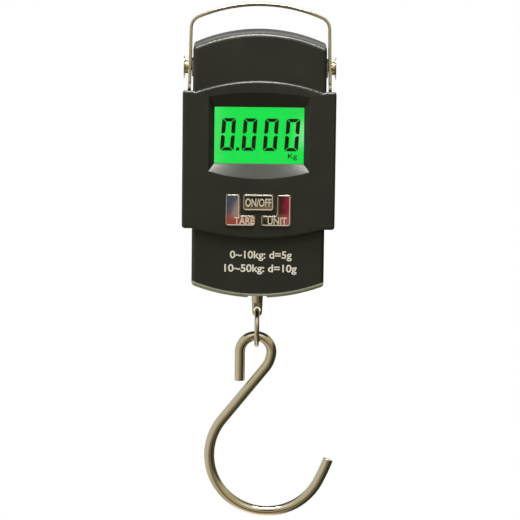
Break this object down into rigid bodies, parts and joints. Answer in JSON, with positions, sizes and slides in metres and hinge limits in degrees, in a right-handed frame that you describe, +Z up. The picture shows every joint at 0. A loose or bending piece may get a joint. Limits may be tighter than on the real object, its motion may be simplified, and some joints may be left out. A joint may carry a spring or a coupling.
{
  "type": "digital fish scale",
  "caption": "Hanging electronic scale: strap handle on a pivot, slim casing with a lit display and keys, and an S hook on a link ring below.",
  "frame": {"origin": "middle of the underside of the handle's grip, where the scale hangs", "axes": "+Z up, +X to the right seen from the display, +Y towards the rear"},
  "size_m": [0.0747, 0.0277, 0.2532],
  "materials": {
    "strap_steel": "bright rolled strip",
    "screw_steel": "turned, nickel plated",
    "axle_steel": "ground rod",
    "nylon": "natural nylon",
    "shell_black": "fine satin moulding",
    "rear_black": "fine satin moulding",
    "cover_black": "fine satin moulding",
    "clear_window": "polished clear sheet",
    "lcd_green": "back-lit display",
    "zebra_rubber": "striped contact rubber",
    "backlight_white": "light guide",
    "led_body": "moulded",
    "board_green": "solder mask",
    "component_black": "epoxy",
    "switch_black": "moulded",
    "plunger_white": "moulded",
    "zinc_screw": "zinc plated",
    "zinc_nut": "zinc plated",
    "cell_aluminium": "machined",
    "gauge_film": "polyimide film",
    "battery_sleeve": "printed sleeve",
    "contact_nickel": "nickel plated",
    "wire_red": "PVC insulation",
    "wire_white": "PVC insulation",
    "key_chrome": "mirror plated",
    "eye_nickel": "nickel plated",
    "ring_nickel": "nickel plated",
    "hook_nickel": "bright nickel plated"
  },
  "bodies": {
    "handle": {"handle": "strap_steel", "handle_screws": "screw_steel", "pivot_axle": "axle_steel", "axle_washers": "nylon"},
    "casing": {"front_shell": "shell_black", "rear_shell": "rear_black", "lcd_window": "clear_window", "lcd_glass": "lcd_green", "zebra_strip": "zebra_rubber", "backlight_panel": "backlight_white", "backlight_leds": "led_body", "circuit_board": "board_green", "board_components": "component_black", "switch_housings": "switch_black", "case_screws": "zinc_screw", "board_screws": "zinc_screw", "load_cell": "cell_aluminium", "strain_gauges": "gauge_film", "eye_washer": "nylon", "battery_left": "battery_sleeve", "battery_right": "battery_sleeve", "battery_springs": "contact_nickel", "battery_contacts": "contact_nickel", "battery_wires": "wire_red", "sensor_wires": "wire_white"},
    "battery_cover": {"battery_cover": "cover_black"},
    "key_on_off": {"button_on_off": "key_chrome", "plunger_on_off": "plunger_white"},
    "key_tare": {"button_tare": "key_chrome", "plunger_tare": "plunger_white"},
    "key_unit": {"button_unit": "key_chrome", "plunger_unit": "plunger_white"},
    "swivel": {"load_eye": "eye_nickel", "eye_nut": "zinc_nut"},
    "link": {"link_ring": "ring_nickel"},
    "hook": {"s_hook": "hook_nickel"}
  },
  "joints": [
    {"name": "casing_swing", "type": "hinge", "parent": "handle", "child": "casing", "pos_m": [0, 0, -0.03], "axis": [1, 0, 0], "range_deg": [-100, 100]},
    {"name": "on_off_press", "type": "slide", "parent": "casing", "child": "key_on_off", "axis": [0, 1, 0], "range_m": [0, 0.0006], "stiffness_N_per_m": 300},
    {"name": "tare_press", "type": "slide", "parent": "casing", "child": "key_tare", "axis": [0, 1, 0], "range_m": [0, 0.0006], "stiffness_N_per_m": 300},
    {"name": "unit_press", "type": "slide", "parent": "casing", "child": "key_unit", "axis": [0, 1, 0], "range_m": [0, 0.0006], "stiffness_N_per_m": 300},
    {"name": "cover_slide", "type": "slide", "parent": "casing", "child": "battery_cover", "axis": [0, 0, -1], "range_m": [0, 0.006]},
    {"name": "eye_swivel", "type": "hinge", "parent": "casing", "child": "swivel", "pos_m": [0, 0, -0.1036], "axis": [0, 0, 1], "continuous": true},
    {"name": "ring_swing", "type": "hinge", "parent": "swivel", "child": "link", "pos_m": [0, 0, -0.14849], "axis": [0, 1, 0], "range_deg": [-60, 60]},
    {"name": "hook_swing", "type": "hinge", "parent": "link", "child": "hook", "pos_m": [0, 0, -0.1614], "axis": [-1, 0, 0], "range_deg": [-75, 75]}
  ]
}
